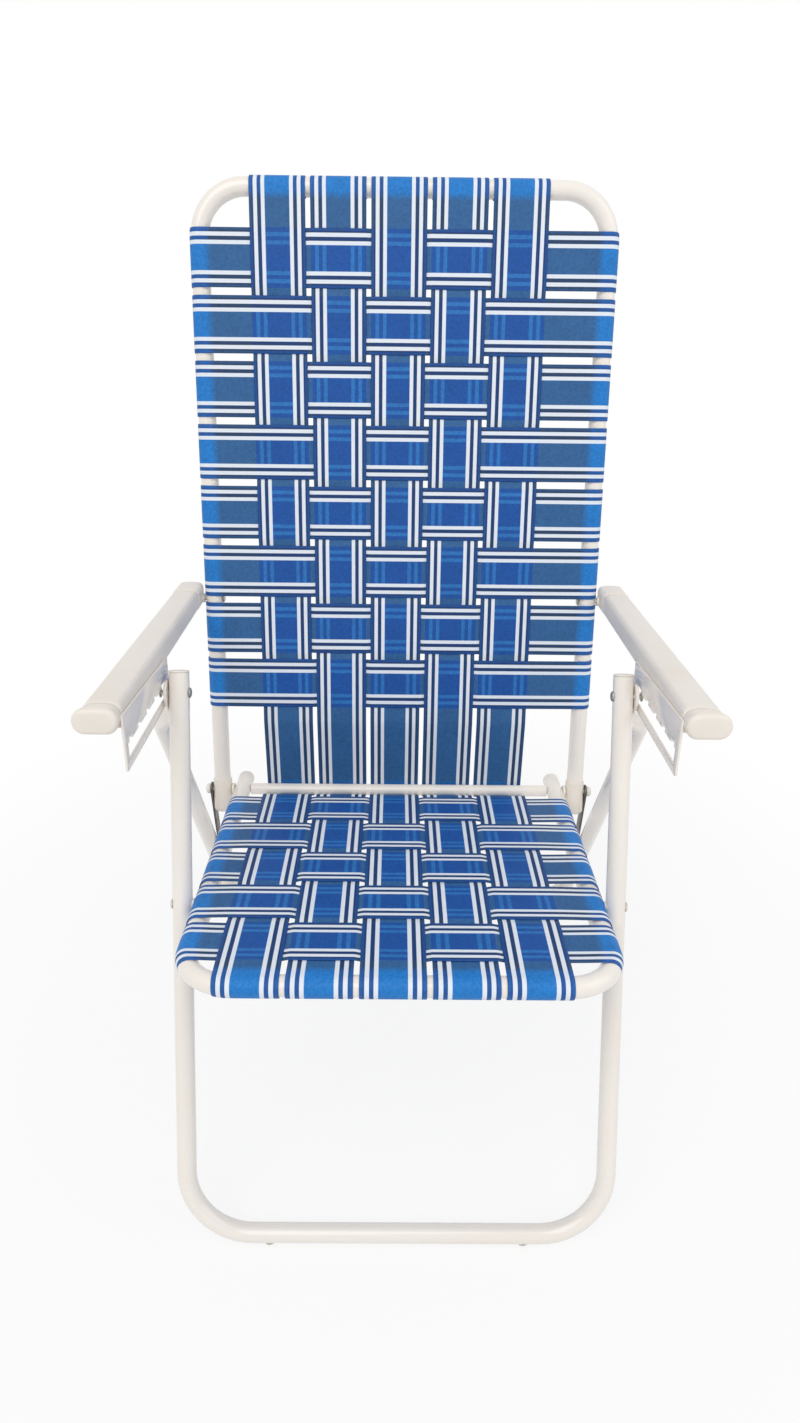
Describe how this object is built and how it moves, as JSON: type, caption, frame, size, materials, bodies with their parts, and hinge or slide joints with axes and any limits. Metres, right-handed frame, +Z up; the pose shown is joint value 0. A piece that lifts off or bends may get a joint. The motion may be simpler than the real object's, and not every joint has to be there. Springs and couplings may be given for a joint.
{
  "type": "folding lawn chair",
  "caption": "Folding armchair of bent white tube with a woven blue striped webbing seat and high back, and armrests with notched brackets that set the recline.",
  "frame": {"origin": "middle of the chair's outer box, on the floor under the glides", "axes": "+X to the right seen from the front, +Y towards the rear, +Z up; the front of the seat faces -Y"},
  "size_m": [0.5218, 0.567, 0.927],
  "materials": {
    "white_paint": "gloss paint on bent tube",
    "white_fastener": "gloss white",
    "cream_plastic": "smooth, slightly worn",
    "webbing": "flat woven plastic strap, blue with white stripes",
    "plated_steel": "zinc plated",
    "dark_link": "dull dark steel"
  },
  "bodies": {
    "front_legs": {"front_leg_frame": "white_paint", "front_glide_left": "cream_plastic", "front_glide_right": "cream_plastic", "front_leg_cap_left": "cream_plastic", "arm_notch_pin_left": "plated_steel", "seat_pivot_rivet_left": "white_fastener", "front_leg_cap_right": "cream_plastic", "arm_notch_pin_right": "plated_steel", "seat_pivot_rivet_right": "white_fastener"},
    "rear_legs": {"rear_leg_frame": "white_paint", "rear_glide_left": "cream_plastic", "rear_glide_right": "cream_plastic"},
    "seat": {"seat_frame": "white_paint", "seat_tube_plug_left": "cream_plastic", "seat_tube_plug_right": "cream_plastic", "seat_cross_strap_1": "webbing", "seat_cross_strap_2": "webbing", "seat_cross_strap_3": "webbing", "seat_cross_strap_4": "webbing", "seat_cross_strap_5": "webbing", "seat_long_strap_1": "webbing", "seat_long_strap_2": "webbing", "seat_long_strap_3": "webbing", "seat_long_strap_4": "webbing", "seat_long_strap_5": "webbing"},
    "hinge_bar": {"stretcher_bar": "white_paint", "hinge_bolt_left": "white_fastener", "hinge_bolt_right": "white_fastener"},
    "back": {"back_frame": "white_paint", "back_end_sleeve_left": "cream_plastic", "back_end_sleeve_right": "cream_plastic", "back_cross_strap_8": "webbing", "back_cross_strap_7": "webbing", "back_cross_strap_6": "webbing", "back_cross_strap_5": "webbing", "back_cross_strap_4": "webbing", "back_cross_strap_3": "webbing", "back_cross_strap_2": "webbing", "back_cross_strap_1": "webbing", "back_long_strap_1": "webbing", "back_long_strap_2": "webbing", "back_long_strap_3": "webbing", "back_long_strap_4": "webbing", "back_long_strap_5": "webbing"},
    "link_left": {"rear_link_left": "dark_link", "link_rivet_left": "plated_steel"},
    "arm_pivot_left": {"arm_pivot_rivet_left": "plated_steel"},
    "arm_left": {"armrest_left": "cream_plastic", "armrest_front_cap_left": "cream_plastic", "armrest_rear_cap_left": "cream_plastic", "notch_bracket_left": "white_paint"},
    "link_right": {"rear_link_right": "dark_link", "link_rivet_right": "plated_steel"},
    "arm_pivot_right": {"arm_pivot_rivet_right": "plated_steel"},
    "arm_right": {"armrest_right": "cream_plastic", "armrest_front_cap_right": "cream_plastic", "armrest_rear_cap_right": "cream_plastic", "notch_bracket_right": "white_paint"}
  },
  "joints": [
    {"name": "seat_fold", "type": "hinge", "parent": "front_legs", "child": "seat", "pos_m": [0, -0.13755, 0.32299], "axis": [-1, 0, 0], "range_deg": [0, 84]},
    {"name": "rear_leg_fold", "type": "hinge", "parent": "front_legs", "child": "rear_legs", "pos_m": [0, -0.05542, 0.50918], "axis": [-1, 0, 0], "range_deg": [0, 46.85]},
    {"name": "hinge_bar_fold", "type": "hinge", "parent": "seat", "child": "hinge_bar", "pos_m": [0, 0.11142, 0.284], "axis": [1, 0, 0], "range_deg": [0, 76.84]},
    {"name": "back_recline", "type": "hinge", "parent": "hinge_bar", "child": "back", "pos_m": [0, 0.11142, 0.284], "axis": [-1, 0, 0], "range_deg": [0, 32]},
    {"name": "arm_fold_left", "type": "hinge", "parent": "back", "child": "arm_pivot_left", "pos_m": [0, 0.16833, 0.50726], "axis": [-1, 0, 0], "range_deg": [0, 85.01]},
    {"name": "arm_recline_left", "type": "hinge", "parent": "arm_pivot_left", "child": "arm_left", "pos_m": [0, 0.16833, 0.50726], "axis": [1, 0, 0], "range_deg": [0, 23.89]},
    {"name": "link_fold_left", "type": "hinge", "parent": "hinge_bar", "child": "link_left", "pos_m": [0, 0.11142, 0.284], "axis": [-1, 0, 0], "range_deg": [0, 172.86]},
    {"name": "arm_fold_right", "type": "hinge", "parent": "back", "child": "arm_pivot_right", "pos_m": [0, 0.16833, 0.50726], "axis": [-1, 0, 0], "range_deg": [0, 85.01]},
    {"name": "arm_recline_right", "type": "hinge", "parent": "arm_pivot_right", "child": "arm_right", "pos_m": [0, 0.16833, 0.50726], "axis": [1, 0, 0], "range_deg": [0, 23.89]},
    {"name": "link_fold_right", "type": "hinge", "parent": "hinge_bar", "child": "link_right", "pos_m": [0, 0.11142, 0.284], "axis": [-1, 0, 0], "range_deg": [0, 172.86]}
  ],
  "couplings": [
    {"joint": "rear_leg_fold", "follows": "seat_fold", "ratio": 0.55714},
    {"joint": "hinge_bar_fold", "follows": "seat_fold", "ratio": 0.91417},
    {"joint": "arm_fold_left", "follows": "seat_fold", "ratio": 1.0114},
    {"joint": "arm_fold_right", "follows": "seat_fold", "ratio": 1.0114},
    {"joint": "link_fold_left", "follows": "seat_fold", "ratio": 2.0573},
    {"joint": "link_fold_right", "follows": "seat_fold", "ratio": 2.0573},
    {"joint": "arm_recline_left", "follows": "back_recline", "ratio": 0.745},
    {"joint": "arm_recline_right", "follows": "back_recline", "ratio": 0.745}
  ]
}
